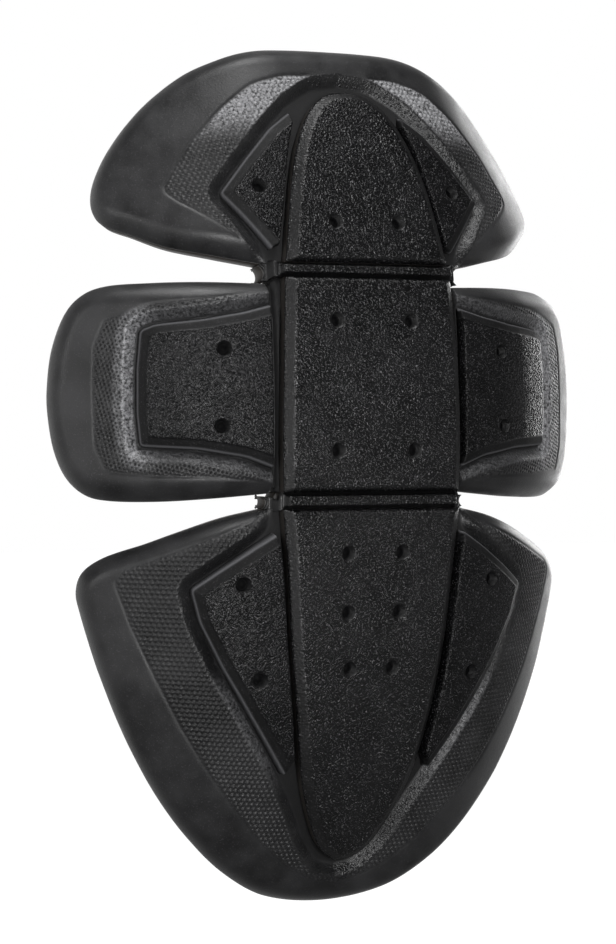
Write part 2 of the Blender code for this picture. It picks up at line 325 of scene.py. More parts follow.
def hex_cells(points, pitch, turn=0.0):
    """Distance from each point to the centre of its cell of a honeycomb, in pitches."""
    c, s = math.cos(turn), math.sin(turn)
    x = (points[:, 0] * c - points[:, 1] * s) / pitch
    y = (points[:, 0] * s + points[:, 1] * c) / pitch
    best = np.full(len(points), 9.0)
    tall = math.sqrt(3)
    for ox, oy in ((0.0, 0.0), (0.5, tall / 2)):
        dx = x - ox - np.round(x - ox)
        dy = y - oy - np.round((y - oy) / tall) * tall
        best = np.minimum(best, np.hypot(dx, dy))
    return best


def bumps(points, pitch):
    """Rounded beads with creases between them, from 0 to 1."""
    return np.clip(1 - (hex_cells(points, pitch) / 0.56) ** 2, 0, 1)


def pinholes(points, pitch):
    return 1 - ramp(hex_cells(points, pitch, 0.26), 0.12, 0.27)


# ---------------------------------------------------------------- meshes

def lattice(low, high, step):
    """Points of a triangular lattice that cover a box."""
    rows = []
    tall = step * math.sqrt(3) / 2
    for i in range(int((high[1] - low[1]) / tall) + 2):
        u = np.arange(low[0] - step, high[0] + step, step) + (i % 2) * step / 2
        rows.append(np.stack([u, np.full(len(u), low[1] + i * tall)], 1))
    return np.vstack(rows)


def triangles(outline, lines, zone):
    """Triangulates the inside of an outline, with edges along the lines. zone gives the mesh
    spacing wanted at each point. Returns the points and the triangles; the outline comes first."""
    outline = np.array(outline, float)
    given = [outline] + [np.array(line, float) for line in lines]
    edges, at = [], 0
    for i, line in enumerate(given):
        n = len(line)
        edges += [(at + j, at + j + 1) for j in range(n - 1)]
        if i == 0:
            edges.append((n - 1, 0))
        at += n
    fixed = np.vstack(given)
    closed = np.vstack([outline, outline[:1]])
    found = []
    for step in SPACINGS:
        p = lattice(outline.min(0), outline.max(0), step)
        p = p[inside(p, outline)]
        if len(p):
            p = p[np.abs(zone(p) - step) < 1e-6]
        if len(p):
            near = distance(p, closed)
            for line in given[1:]:
                near = np.minimum(near, distance(p, line))
            p = p[near > 0.42 * step]
        found.append(p)
    everything = np.vstack([fixed] + found)
    verts, _, faces, _, _, _ = delaunay_2d_cdt([Vector(p) for p in everything], edges, [], 0, 1e-4)
    points = np.array([tuple(p) for p in verts])
    faces = np.array([f for f in faces if len(f) == 3])
    middle = points[faces].mean(1)
    return points, faces[inside(middle, outline)]


def boundary(faces):
    """The closed loop of vertices round a triangulated patch, in the triangles' own direction."""
    seen = {edge for a, b, c in faces.tolist() for edge in ((a, b), (b, c), (c, a))}
    after = {a: b for a, b in seen if (b, a) not in seen}
    start = min(after)
    loop = [start]
    while after[loop[-1]] != start:
        loop.append(after[loop[-1]])
    return loop


def solid(name, outline, lines, zone, height, section, extra=None, back_lines=()):
    """A closed piece: a top surface with its relief, a side wall and a plain inner face.

    height(points) gives w over the top; section is a list of (inset, w) rows that runs from the top
    edge down the wall to the inner face. extra(points) gives named values for the material."""
    outline = anticlockwise(outline)
    points, faces = triangles(outline, lines, zone)
    a, b, c = points[faces[:, 0]], points[faces[:, 1]], points[faces[:, 2]]
    faces = np.where((np.cross(b - a, c - a) < 0)[:, None], faces[:, ::-1], faces)
    w = height(points)
    loop = np.array(boundary(faces))
    ring = points[loop]
    outward = normals(ring)
    flat = [np.column_stack([points, w])]
    wall = [np.zeros(len(points))]
    polygons = faces.tolist()
    above, count = loop, len(points)
    for inset, level in section:
        here = ring - outward * inset
        flat.append(np.column_stack([here, np.full(len(loop), float(level))]))
        wall.append(np.ones(len(loop)))
        below = np.arange(count, count + len(loop))
        for i in range(len(loop)):
            j = (i + 1) % len(loop)
            polygons.append([int(above[j]), int(above[i]), int(below[i]), int(below[j])])
        above, count = below, count + len(loop)
    inner, back_faces = back_cap(flat[-1], count - len(loop), count, back_lines)
    flat.append(inner)
    wall.append(np.ones(len(inner)))
    polygons += back_faces
    flat = np.vstack(flat)
    values = {"wall": np.concatenate(wall)}
    if extra:
        for key, value in extra(points).items():
            full = np.zeros(len(flat))
            full[:len(points)] = value
            values[key] = full
    return make(name, flat, polygons, values)


def back_cap(ring, first, count, lines):
    """The inner face inside the last ring of the wall, with edges along the closed lines."""
    level = ring[0, 2]
    outline = ring[:, :2]
    closed = np.vstack([outline, outline[:1]])
    p = lattice(outline.min(0), outline.max(0), BACK_STEP)
    p = p[inside(p, outline)]
    p = p[distance(p, closed) > 0.5 * BACK_STEP]
    n = len(outline)
    edges = [(i, (i + 1) % n) for i in range(n)]
    drawn = [np.array(line, float) for line in lines]
    at = n
    for line in drawn:
        edges += [(at + i, at + (i + 1) % len(line)) for i in range(len(line))]
        at += len(line)
        p = p[distance(p, np.vstack([line, line[:1]])) > 0.3]
    everything = np.vstack([outline] + drawn + [p])
    verts, _, faces, origin, _, _ = delaunay_2d_cdt([Vector(q) for q in everything], edges, [], 0, 1e-4)
    points = np.array([tuple(q) for q in verts])
    faces = np.array([f for f in faces if len(f) == 3])
    faces = faces[inside(points[faces].mean(1), outline)]
    rename, inner = {}, []
    for new, old in enumerate(origin):
        old = [o for o in old if o < n]
        if old:
            rename[new] = first + old[0]
        else:
            rename[new] = count + len(inner)
            inner.append((points[new][0], points[new][1], level))
    a, b, c = points[faces[:, 0]], points[faces[:, 1]], points[faces[:, 2]]
    turned = np.cross(b - a, c - a) > 0
    faces = np.where(turned[:, None], faces[:, ::-1], faces)
    return np.array(inner).reshape(-1, 3), [[rename[i] for i in f] for f in faces.tolist()]


def make(name, flat, polygons, values):
    mesh = bpy.data.meshes.new(name)
    mesh.from_pydata(bend(flat).tolist(), [], polygons)
    mesh.validate()
    for key, value in values.items():
        if len(value) == len(mesh.vertices):
            kept = mesh.attributes.new(key, "FLOAT", "POINT")
            kept.data.foreach_set("value", value.astype(np.float32))
    mesh.polygons.foreach_set("use_smooth", [True] * len(mesh.polygons))
    mesh.update()
    thing = bpy.data.objects.new(name, mesh)
    bpy.context.scene.collection.objects.link(thing)
    return thing


# ---------------------------------------------------------------- heights

def dimpled(points, w, dimples):
    """Blind round dimples, each with a soft lip and a slightly domed floor."""
    for u, v in dimples:
        r = np.hypot(points[:, 0] - u, points[:, 1] - v)
        hole = 1 - ramp(r, DIMPLE_FLOOR_R, DIMPLE_R)
        w = w - DIMPLE_DEPTH * hole + 0.5 * np.clip(1 - (r / 1.3) ** 2, 0, 1)
        w = w - 0.14 * np.exp(-((r - DIMPLE_R) / 0.3) ** 2)
    return w


def rings(dimples):
    found = []
    for u, v in dimples:
        for r in (DIMPLE_FLOOR_R, DIMPLE_R, DIMPLE_R + 0.35):
            turn = np.linspace(0, 2 * math.pi, 33)
            found.append(np.stack([u + r * np.cos(turn), v + r * np.sin(turn)], 1))
    return found


def in_dimple(points, dimples):
    hit = np.zeros(len(points))
    for u, v in dimples:
        hit = np.maximum(hit, 1 - ramp(np.hypot(points[:, 0] - u, points[:, 1] - v), 1.6, 2.3))
    return hit


class Pad:
    """A padded section: rounded rim, textured band, slope and sunk pocket."""

    def __init__(self, free_edge, hinge_edge, pocket, band, texture, worn):
        self.free_edge = free_edge
        self.outline = anticlockwise(list(free_edge) + list(hinge_edge))
        self.pocket = pocket
        self.band = band
        self.texture = texture
        self.worn = worn

    def measure(self, points):
        """Distances from the free edge, outward from the pocket and inward from the band's edge."""
        key = len(points), float(points.sum())
        if getattr(self, "kept", (None,))[0] != key:
            edge = distance(points, self.free_edge)
            q = distance(points, self.pocket)
            q = np.where(inside(points, self.pocket), -q, q)
            b = distance(points, self.band)
            b = np.where(inside(points, self.band), b, -b)
            self.kept = key, (edge, q, b)
        return self.kept[1]

    def zone(self, points):
        _, q, b = self.measure(points)
        step = np.where(q < -0.6, COARSE, MEDIUM)
        return np.where((q >= -0.6) & ((b > -0.8) | (q < VALLEY_RUN + 0.6)), FINE, step)

    def mask(self, points):
        """1 over the textured band, fading to 0 at both its edges."""
        _, q, b = self.measure(points)
        return ramp(b, -0.1, 0.9) * ramp(q, VALLEY_RUN - 0.4, VALLEY_RUN + 0.4)

    def height(self, points):
        edge, q, b = self.measure(points)
        rim = RIM - RIM_DROP * (1 - np.clip(edge / EDGE_RUN, 0, 1)) ** 2.2
        t = np.clip(q / VALLEY_RUN, 0, 1)
        w = FLOOR + (rim - FLOOR) * (0.25 * t + 0.75 * ramp(t))
        w = w - CREASE * np.exp(-(b / 0.5) ** 2) * ramp(q, VALLEY_RUN, VALLEY_RUN + 1)
        return w + self.mask(points) * self.texture(points)

    def extra(self, points):
        _, q, _ = self.measure(points)
        slope = ramp(q, 0.3, 1.2) * (1 - ramp(q, VALLEY_RUN - 0.4, VALLEY_RUN + 0.3))
        band = self.mask(points)
        # the hollows between the beads, the pinholes and the pocket floor are marked deep: the material
        # paints them almost black as painted shade
        sunk = band * np.clip(-self.texture(points) / BEAD_SINK, 0, 1) * 0.8
        return {"band": band, "slope": slope, "deep": np.maximum(sunk, 1 - ramp(q, -0.6, 1.0)),
                "worn": self.worn(points, q, slope, band)}


PAD_SECTION = [(0.0, WALL_TOP), (0.4, WALL_TOP - 0.25), (0.4, WALL_TOP - 0.6), (0.0, WALL_TOP - 0.9),
               (0.0, (WALL_TOP + BACK) / 2), (0.0, BACK + 1.3), (0.35, BACK + 0.45), (1.1, BACK)]


def beads(points):
    return BEAD_HEIGHT * bumps(points, BEAD_PITCH) - BEAD_SINK


def pits(points):
    return -PIT_DEPTH * pinholes(points, PIT_PITCH)


# how much pale sheen is painted on the skin at each point of a lobe or a wing: a painted highlight on the
# upper band, the slopes and the wing ends
def painted_sheen_upper(points, q, slope, band):
    return 1.7 * band * ramp(points[:, 1], 71, 84)


def painted_sheen_lower(points, q, slope, band):
    v = -points[:, 1]
    return 0.4 * slope * ramp(v, 80, 92) * (1 - ramp(v, 104, 122))


def painted_sheen_wing(points, q, slope, band):
    ends = ramp(abs(points[:, 0]), 64, 72)
    return slope * (0.25 + 0.75 * ends) + 0.5 * ends * ramp(q, 3, 4) * (1 - ramp(q, 5.5, 7))


def evenly(value):
    """A function that gives the same value at every point."""
    return lambda points: np.full(len(points), value)


def build_pad(name, pad, body):
    piece = solid(name, pad.outline, [pad.pocket], pad.zone, pad.height, PAD_SECTION, pad.extra)
    return dress(piece, body, name, skin)


def build_plate(name, outline, hinge_levels, dimples, body):
    """A raised, grained plate: soft shoulders down its sides, short ones at its hinges."""
    outline = anticlockwise(outline)
    ring = np.vstack([outline, outline[:1]])
    sides = [ring[i:i + 2] for i in range(len(outline))
             if not any(abs(ring[i:i + 2, 1] - level).max() < 0.05 for level in hinge_levels)]

    def height(points):
        d = np.min([distance(points, side) for side in chained(sides)], 0)
        hinge = np.min([abs(points[:, 1] - level) for level in hinge_levels], 0)
        every = np.minimum(d, hinge)
        rise = np.minimum(ramp(d, 0.2, SHOULDER_RUN), ramp(hinge, 0.0, 1.3))
        w = SPINE_EDGE + (SPINE_TOP - SPINE_EDGE) * rise - 0.4 * np.clip(1 - every / 0.45, 0, 1) ** 2
        return dimpled(points, w, dimples)

    def extra(points):
        d = np.min([distance(points, side) for side in chained(sides)], 0)
        plateau = ramp(d, SHOULDER_RUN - 0.9, SHOULDER_RUN + 0.2)
        lip = np.exp(-(d / 0.55) ** 2)
        return {"grain": np.clip(0.35 + 0.65 * plateau + 0.6 * lip, 0, 1),
                "dimple": in_dimple(points, dimples)}

    section = [(0.0, SPINE_EDGE - 1.6), (0.0, FLOOR + 0.3)]
    piece = solid(name, outline, rings(dimples), evenly(MEDIUM), height, section, extra)
    return dress(piece, body, name, grain)


def chained(sides):
    """Runs of touching segments, joined to polylines."""
    runs = []
    for side in sides:
        if runs and np.allclose(runs[-1][-1], side[0]):
            runs[-1].append(side[1])
        else:
            runs.append([side[0], side[1]])
    return [np.array(run) for run in runs]


def build_panel(name, valley, inner, level, dimples, side, body):
    """A grained panel: a fine crest and a smooth bevel on the valley's side, a wall on the groove's."""
    if side == "left":
        valley, inner = mirrored(valley), mirrored(inner)
        dimples = [(-u, v) for u, v in dimples]
    valley = softened(valley, 1.6)
    groove = [valley[-1]] + softened(inner, 1.5) + [valley[0]]
    outline = anticlockwise(straight_through(valley + groove[1:-1] + [valley[0]], 0.7)[:-1])

    def profile(points):
        return distance(points, valley), distance(points, groove)

    def height(points):
        out, in_ = profile(points)
        low = FLOOR + 0.15
        crest = level - CREST_DROP
        rise = np.clip((out - CREST_RUN) / (BEVEL_RUN - CREST_RUN), 0, 1)
        bevel = low + (crest - low) * ramp(out, 0, CREST_RUN)
        bevel = bevel + (level - LIP - crest) * rise ** 0.8
        bevel = bevel + LIP * ramp(out, BEVEL_RUN - 0.05, BEVEL_RUN + 0.35)
        wall = low + (level - low) * ramp(in_, -0.35, 0.6)
        return dimpled(points, np.minimum(bevel, wall), dimples)

    def zone(points):
        out, in_ = profile(points)
        return np.where(np.minimum(out, in_) < BEVEL_RUN + 0.6, FINE, MEDIUM)

    def extra(points):
        out, in_ = profile(points)
        face = ramp(out, BEVEL_RUN - 0.1, BEVEL_RUN + 0.5)
        # the crest line is painted pale in the material: a painted highlight along the panel's edge
        crest = np.exp(-((out - 0.6) / 0.3) ** 2)
        return {"grain": face, "crest": crest, "dimple": in_dimple(points, dimples)}

    section = [(0.0, FLOOR + 0.05)]
    piece = solid(name, outline, rings(dimples), zone, height, section, extra)
    return dress(piece, body, name, panel)


def dress(piece, body, node, finish):
    """Gives a piece its material, darker in its dimples, hides the CAD node it stands for and, when it has a
    body, hangs it on that body.
    """
    piece.data.materials.append(finish)
    if "dimple" in piece.data.attributes:
        # the near-black hollow material on the dimples' faces is painted shade in the holes
        piece.data.materials.append(hollow)
        sunk = [a.value > 0.5 for a in piece.data.attributes["dimple"].data]
        for face in piece.data.polygons:
            face.material_index = int(all(sunk[v] for v in face.vertices))
    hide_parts(node)
    if body:
        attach(piece, body)
    return piece


# ---------------------------------------------------------------- materials

class Graph:
    """Short names for wiring a material's nodes. Texture coordinates are in millimetres."""

    def __init__(self, name):
        self.material = bpy.data.materials.new(name)
        self.material.use_nodes = True
        self.tree = self.material.node_tree
        self.shader = self.tree.nodes["Principled BSDF"]
        spot = self.tree.nodes.new("ShaderNodeTexCoord")
        scale = self.tree.nodes.new("ShaderNodeVectorMath")
        scale.operation = "SCALE"
        scale.inputs["Scale"].default_value = 1000
        self.tree.links.new(spot.outputs["Object"], scale.inputs[0])
        self.place = scale.outputs[0]

    def put(self, socket, value):
        if isinstance(value, bpy.types.NodeSocket):
            self.tree.links.new(value, socket)
        else:
            socket.default_value = value

    def noise(self, scale, detail=2.0, rough=0.55):
        node = self.tree.nodes.new("ShaderNodeTexNoise")
        self.put(node.inputs["Vector"], self.place)
        node.inputs["Scale"].default_value = scale
        node.inputs["Detail"].default_value = detail
        node.inputs["Roughness"].default_value = rough
        return node.outputs["Fac"]

    def cells(self, scale):
        node = self.tree.nodes.new("ShaderNodeTexVoronoi")
        self.put(node.inputs["Vector"], self.place)
        node.inputs["Scale"].default_value = scale
        return node

    def attribute(self, name):
        node = self.tree.nodes.new("ShaderNodeAttribute")
        node.attribute_name = name
        return node.outputs["Fac"]

    def math(self, kind, a, b=0.0, clamp=False):
        node = self.tree.nodes.new("ShaderNodeMath")
        node.operation = kind
        node.use_clamp = clamp
        self.put(node.inputs[0], a)
        self.put(node.inputs[1], b)
        return node.outputs[0]

    def span(self, value, low, high, to_low=0.0, to_high=1.0):
        node = self.tree.nodes.new("ShaderNodeMapRange")
        self.put(node.inputs["Value"], value)
        for key, number in (("From Min", low), ("From Max", high), ("To Min", to_low), ("To Max", to_high)):
            self.put(node.inputs[key], number)
        return node.outputs["Result"]

    def mix(self, factor, a, b):
        node = self.tree.nodes.new("ShaderNodeMix")
        node.data_type = "RGBA"
        self.put(node.inputs["Factor"], factor)
        for socket, colour in ((node.inputs[6], a), (node.inputs[7], b)):
            self.put(socket, colour if isinstance(colour, bpy.types.NodeSocket) else (*colour, 1))
        return node.outputs[2]

    def bump(self, height, distance_mm):
        node = self.tree.nodes.new("ShaderNodeBump")
        node.inputs["Distance"].default_value = distance_mm / 1000
        self.put(node.inputs["Height"], height)
        return node.outputs["Normal"]


def foam(name, dark, light, rough, specular, sheen, dull=0.0):
    """Moulded black foam, smooth on its rims and finely pebbled on its grained faces. Its colour also carries
    painted shade in hollows, grooves, pocket slopes and dimples, painted sheen in pale patches, and painted
    highlights along crests and in specks.
    """
    g = Graph(name)
    wall, deep, band = g.attribute("wall"), g.attribute("deep"), g.attribute("band")
    slope, face = g.attribute("slope"), g.attribute("grain")
    dimple = g.attribute("dimple")
    face = g.math("MULTIPLY", face, g.math("SUBTRACT", 1.0, g.math("MULTIPLY", dimple, 0.9)))
    grained = g.math("ADD", face, g.math("MULTIPLY", slope, 0.6), clamp=True)
    on_wall = g.span(wall, 0.3, 0.9)
    cloud = g.noise(0.05, 3.0)
    patch = g.noise(0.12, 2.0)
    fine = g.noise(1.9, 2.0, 0.6)
    pebble = g.cells(1.35)
    facet = g.cells(1.9)

    cloudy = g.math("ADD", g.math("MULTIPLY", cloud, 0.6), g.math("MULTIPLY", patch, 0.4))
    colour = g.mix(g.span(cloudy, 0.38, 0.62), dark, light)
    # pale specks, denser on grained faces: partly dust, partly painted glints that stand in for the grain's
    # sparkle
    dust_and_glint = g.span(g.noise(2.3, 1.0), 0.62, 0.72)
    colour = g.mix(g.math("MULTIPLY", dust_and_glint, g.span(face, 0, 1, 0.3, 0.7)), colour, (0.06, 0.058, 0.062))
    # painted shade: the slopes down into each pocket are darkened
    colour = g.mix(g.math("MULTIPLY", slope, 0.5), colour, (0.004, 0.004, 0.0043))
    # painted sheen: pale, broken patches where the lights catch the upper band, the slopes and the wing ends
    painted_sheen_amount = g.math("MULTIPLY", g.attribute("worn"), g.span(g.noise(1.1, 3.0, 0.7), 0.36, 0.66))
    colour = g.mix(painted_sheen_amount, colour, (0.19, 0.19, 0.197))
    # painted highlight: a pale line along each panel's crest
    colour = g.mix(g.math("MULTIPLY", g.attribute("crest"), 0.8), colour, (0.09, 0.09, 0.095))
    colour = g.mix(on_wall, colour, (0.020, 0.0172, 0.0150))
    # painted shade: colour taken almost to black where deep, in pocket floors, bead hollows, pinholes, groove
    # bottoms and webs
    colour = g.mix(g.math("MULTIPLY", deep, 0.85), colour, (0.001, 0.001, 0.0012))
    # painted shade: the dimples are taken near to black
    colour = g.mix(dimple, colour, (0.0008, 0.0008, 0.001))
    g.put(g.shader.inputs["Base Color"], colour)

    roughness = g.span(fine, 0.3, 0.7, rough - 0.06, rough + 0.06)
    roughness = g.math("ADD", roughness, g.span(patch, 0.35, 0.65, -0.04, 0.04))
    plain = g.math("SUBTRACT", 1.0, g.math("MAXIMUM", face, dimple), clamp=True)
    roughness = g.math("ADD", roughness, g.math("MULTIPLY", plain, dull))
    roughness = g.math("SUBTRACT", roughness, g.math("MULTIPLY", grained, 0.13))
    roughness = g.math("ADD", roughness, g.math("MULTIPLY", on_wall, 0.15))
    roughness = g.math("ADD", roughness, g.math("MULTIPLY", deep, 0.3))
    roughness = g.math("ADD", roughness, g.math("MULTIPLY", dimple, 0.3), clamp=True)
    g.put(g.shader.inputs["Roughness"], roughness)
    g.shader.inputs["Specular IOR Level"].default_value = specular
    g.shader.inputs["Sheen Weight"].default_value = sheen
    g.shader.inputs["Sheen Roughness"].default_value = 0.4

    pick = g.span(g.math("FRACT", g.math("MULTIPLY", pebble.outputs["Color"], 7.0)), 0.3, 0.9, 0.2, 1.4)
    bead = g.math("MULTIPLY", g.span(pebble.outputs["Distance"], 0.1, 0.62, 1.0, 0.0), pick)
    rugged = g.math("ADD", bead, g.math("MULTIPLY", facet.outputs["Distance"], 0.6))
    rugged = g.math("ADD", rugged, g.math("MULTIPLY", fine, 0.8))
    coarse = g.math("ADD", grained, g.math("MULTIPLY", band, 0.25))
    calm = g.math("SUBTRACT", 0.28, g.math("MULTIPLY", dimple, 0.28), clamp=True)
    height = g.math("ADD", g.math("MULTIPLY", fine, calm), g.math("MULTIPLY", rugged, coarse))
    g.put(g.shader.inputs["Normal"], g.bump(height, GRAIN_BUMP))
    return g.material


skin = foam("foam_skin", (0.004, 0.004, 0.0043), (0.015, 0.015, 0.0157), 0.43, 0.27, 0.07)
grain = foam("foam_grain", (0.0015, 0.0015, 0.0016), (0.004, 0.004, 0.0043), 0.33, 0.25, 0.0, 0.25)
panel = foam("foam_panel", (0.0015, 0.0015, 0.0016), (0.004, 0.004, 0.0043), 0.36, 0.14, 0.0, 0.25)
# near-black material for the dimples' faces: painted shade in the holes
hollow = foam("foam_hollow", (0.0008, 0.0008, 0.001), (0.0012, 0.0012, 0.0014), 0.4, 0.07, 0.0)
web = foam("foam_web", (0.0015, 0.0015, 0.0016), (0.004, 0.004, 0.0043), 0.36, 0.24, 0.0)


# ---------------------------------------------------------------- the pieces

def hinge_run(a, b, step=1.5):
    """The points strictly between the ends of a straight hinge edge."""
    return straight_through([a, b], step)[1:-1]


def lobe(edge, pocket, band, worn):
    free = curve_through(with_mirror(edge), 0.8)
    return Pad(free, hinge_run(free[-1], free[0]), with_mirror(softened(pocket, 2.2)),
               with_mirror(softened(band, 3.0)), beads, worn)


def wing(side):
    turned = mirrored if side == "left" else list
    free = turned(curve_through(WING_EDGE, 0.8))
    return Pad(free, hinge_run(free[-1], free[0]), turned(softened(WING_VALLEY, 1.0)),
               turned(softened(WING_BAND, 1.5)), pits, painted_sheen_wing)


def pairs(points):
    return points + [(-u, v) for u, v in points]


# marks a whole piece deep, so the material paints it almost black as painted shade
def all_deep(points):
    return {"deep": np.ones(len(points))}


def middle_body():
    """The plain body under the middle plate, with the flat land on its inner face."""
    corners = [(SPINE_HALF, MIDDLE_BOTTOM), (SPINE_HALF, MIDDLE_TOP),
               (-SPINE_HALF, MIDDLE_TOP), (-SPINE_HALF, MIDDLE_BOTTOM)]
    outline = straight_through(corners + corners[:1], 1.2)[:-1]
    land = [[(a * sx, b * sy) for sx, sy in ((-1, -1), (1, -1), (1, 1), (-1, 1))]
            for a, b in (LAND_HALF, (LAND_HALF[0] + 0.4, LAND_HALF[1] + 0.4))]
    section = [(0.0, BACK + 1.0), (0.3, BACK + 0.3), (1.0, BACK)]
    # the middle body is painted almost black as shade
    piece = solid("middle_pad", outline, [], evenly(COARSE), evenly(FLOOR), section, all_deep,
                  [straight_through(r + r[:1], 2.0)[:-1] for r in land])
    for vertex in piece.data.vertices:
        x, y, z = vertex.co
        if abs(x) < (LAND_HALF[0] + 0.2) / 1000 and abs(z) < (LAND_HALF[1] + 0.2) / 1000 and y > 0:
            vertex.co.y = 0.0
    return dress(piece, "middle", "middle_pad", skin)


def cross_web(side):
    """The grained band between two grooves that are painted dark as shade, with a rounded end at each notch.
    """
    sign = 1 if side == "upper" else -1
    near, far = (MIDDLE_TOP, UPPER_START) if sign > 0 else (-MIDDLE_BOTTOM, -LOWER_START)
    wing_edge = 29.8 if sign > 0 else 32.0  # clear of the wing, even when it is folded in
    near, far = near + GAP, far - GAP
    middle, radius = (wing_edge + far) / 2, (far - wing_edge) / 2
    arc = [(NOTCH_END + radius * math.cos(math.radians(a)), middle + radius * math.sin(math.radians(a)))
           for a in range(250, 100, -10)]
    half = ([(28.9, near), (30.1, wing_edge + 0.9), (31.2, wing_edge + 0.1)] + arc
            + [(32.2, far + 0.45), (30.6, far + 0.8), (29.2, far + 0.4), (28.2, far)])
    half = straight_through(half, 0.5)
    ring = half + hinge_run(half[-1], (-half[-1][0], half[-1][1]), 0.7)
    ring += mirrored(half) + hinge_run((-half[0][0], half[0][1]), half[0], 0.7)
    outline = anticlockwise([(u, sign * v) for u, v in ring])

    def height(points):
        u, v = abs(points[:, 0]), abs(points[:, 1])
        crest = ramp(np.minimum(v - near, far - v), 0.05, 1.1)
        across = BAND_TOP - 3.4 * (1 - crest)
        end = -0.7 - 3.4 * ramp(u, 29.4, 31.6)
        k = ramp(u, 27.2, 28.7)
        return across * (1 - k) + end * k

    def extra(points):
        u, v = abs(points[:, 0]), abs(points[:, 1])
        crest = ramp(np.minimum(v - near, far - v), 0.4, 1.1)
        middle_part = 1 - ramp(u, 27, 28.6)
        # the groove bottoms are marked deep and painted almost black as shade
        return {"grain": crest * middle_part, "deep": (1 - crest) * middle_part}

    section = [(0.0, WALL_TOP), (0.3, WALL_TOP - 0.3), (0.0, WALL_TOP - 0.7), (0.0, BACK + 1.0),
               (0.3, BACK + 0.3), (0.9, BACK)]
    piece = solid("hinge_" + side, outline, [], evenly(FINE), height, section, extra)
    dress(piece, None, "hinge_" + side, web)
    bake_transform(piece)


def side_web(side):
    """The thin web at the bottom of the groove between the middle and a wing."""
    sign = -1 if side == "left" else 1
    low, high = SPINE_HALF - 0.5, WING_START + 0.5
    corners = [(low, -29.8), (high, -29.2), (high, 28.4), (low, 29.8)]
    outline = straight_through(corners + corners[:1], 0.8)[:-1]
    outline = anticlockwise([(sign * u, v) for u, v in outline])
    section = [(0.0, WEB_TOP - 0.6), (0.0, BACK + 0.7), (0.5, BACK + 0.15)]
    # the web at the bottom of the groove is painted almost black as shade
    piece = solid("hinge_wing_" + side, outline, [], evenly(MEDIUM), evenly(WEB_TOP), section, all_deep)
    dress(piece, None, "hinge_wing_" + side, web)
    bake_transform(piece)


middle_body()
build_plate("spine_middle", straight_through(with_mirror(SPINE_MIDDLE) + SPINE_MIDDLE[:1], 0.9)[:-1],
            (MIDDLE_TOP, MIDDLE_BOTTOM), pairs(MIDDLE_DIMPLES), "middle")

for side, edge, pocket, band, worn, tip, valley, inner, level, dots, spine_dots, start in (
        ("upper", UPPER_EDGE, UPPER_POCKET, UPPER_BAND, painted_sheen_upper, SPINE_TIP_UP, UPPER_VALLEY, UPPER_INNER,
         PANEL_TOP, UPPER_DIMPLES, UPPER_SPINE_DIMPLES, UPPER_START),
        ("lower", LOWER_EDGE, LOWER_POCKET, LOWER_BAND, painted_sheen_lower, SPINE_TIP_DOWN, LOWER_VALLEY, LOWER_INNER,
         LOWER_PANEL_TOP, LOWER_DIMPLES, LOWER_SPINE_DIMPLES, LOWER_START)):
    build_pad(side + "_pad", lobe(edge, pocket, band, worn), side)
    line = curve_through(with_mirror(tip), 0.8)
    build_plate("spine_" + side, line + hinge_run(line[-1], line[0], 0.9), (start,),
                pairs(spine_dots), side)
    for hand in ("left", "right"):
        build_panel("panel_" + side + "_" + hand, valley, inner, level, dots, hand, side)
    cross_web(side)

for hand in ("left", "right"):
    build_pad("wing_" + hand, wing(hand), hand + "_wing")
    build_panel("panel_wing_" + hand, WING_VALLEY, WING_INNER, PANEL_TOP, WING_DIMPLES, hand,
                hand + "_wing")
    side_web(hand)


# ---------------------------------------------------------------- camera, floor and light

VIEW_TURN = math.radians(29.5)
VIEW_RISE = math.radians(-0.83)
VIEW_ROLL = math.radians(0.98)
VIEW_DISTANCE = 1.0
VIEW_LENS = 133.5
AIM = (-0.01906, -0.0115, -0.0247)


def make_camera():
    data = bpy.data.cameras.new("camera")
    data.lens = VIEW_LENS
    data.sensor_width = 36
    data.clip_start = 0.01
    data.clip_end = 100
    camera = bpy.data.objects.new("camera", data)
    bpy.context.scene.collection.objects.link(camera)
    cos, sin = math.cos, math.sin
    right = Vector((cos(VIEW_TURN), -sin(VIEW_TURN), 0))
    ahead = Vector((cos(VIEW_RISE) * sin(VIEW_TURN), cos(VIEW_RISE) * cos(VIEW_TURN), -sin(VIEW_RISE)))
    up = Vector((sin(VIEW_RISE) * sin(VIEW_TURN), sin(VIEW_RISE) * cos(VIEW_TURN), cos(VIEW_RISE)))
    across = right * cos(VIEW_ROLL) - up * sin(VIEW_ROLL)
    rise = right * sin(VIEW_ROLL) + up * cos(VIEW_ROLL)
    turn = Matrix((across, rise, -ahead)).transposed()
    camera.rotation_mode = "QUATERNION"
    camera.rotation_quaternion = turn.to_quaternion()
    camera.location = (right * AIM[0] + up * AIM[2] - ahead * VIEW_DISTANCE + Vector((0, AIM[1], 0)))
    bpy.context.scene.camera = camera


def softbox(name, azimuth, elevation, reach, size, power):
    """A square area light aimed at the pad. Azimuth 0 is in front of it, and 90 to its right."""
    light = bpy.data.lights.new(name, "AREA")
    light.shape = "RECTANGLE"
    light.size, light.size_y = size
    light.energy = power
    lamp = bpy.data.objects.new(name, light)
    bpy.context.scene.collection.objects.link(lamp)
    a, e = math.radians(azimuth), math.radians(elevation)
    back = Vector((math.sin(a) * math.cos(e), -math.cos(a) * math.cos(e), math.sin(e)))
    lamp.location = back * reach + Vector((0, 0, -0.02))
    lamp.visible_camera = False
    lamp.rotation_mode = "QUATERNION"
    lamp.rotation_quaternion = (-back).to_track_quat("-Z", "Y")


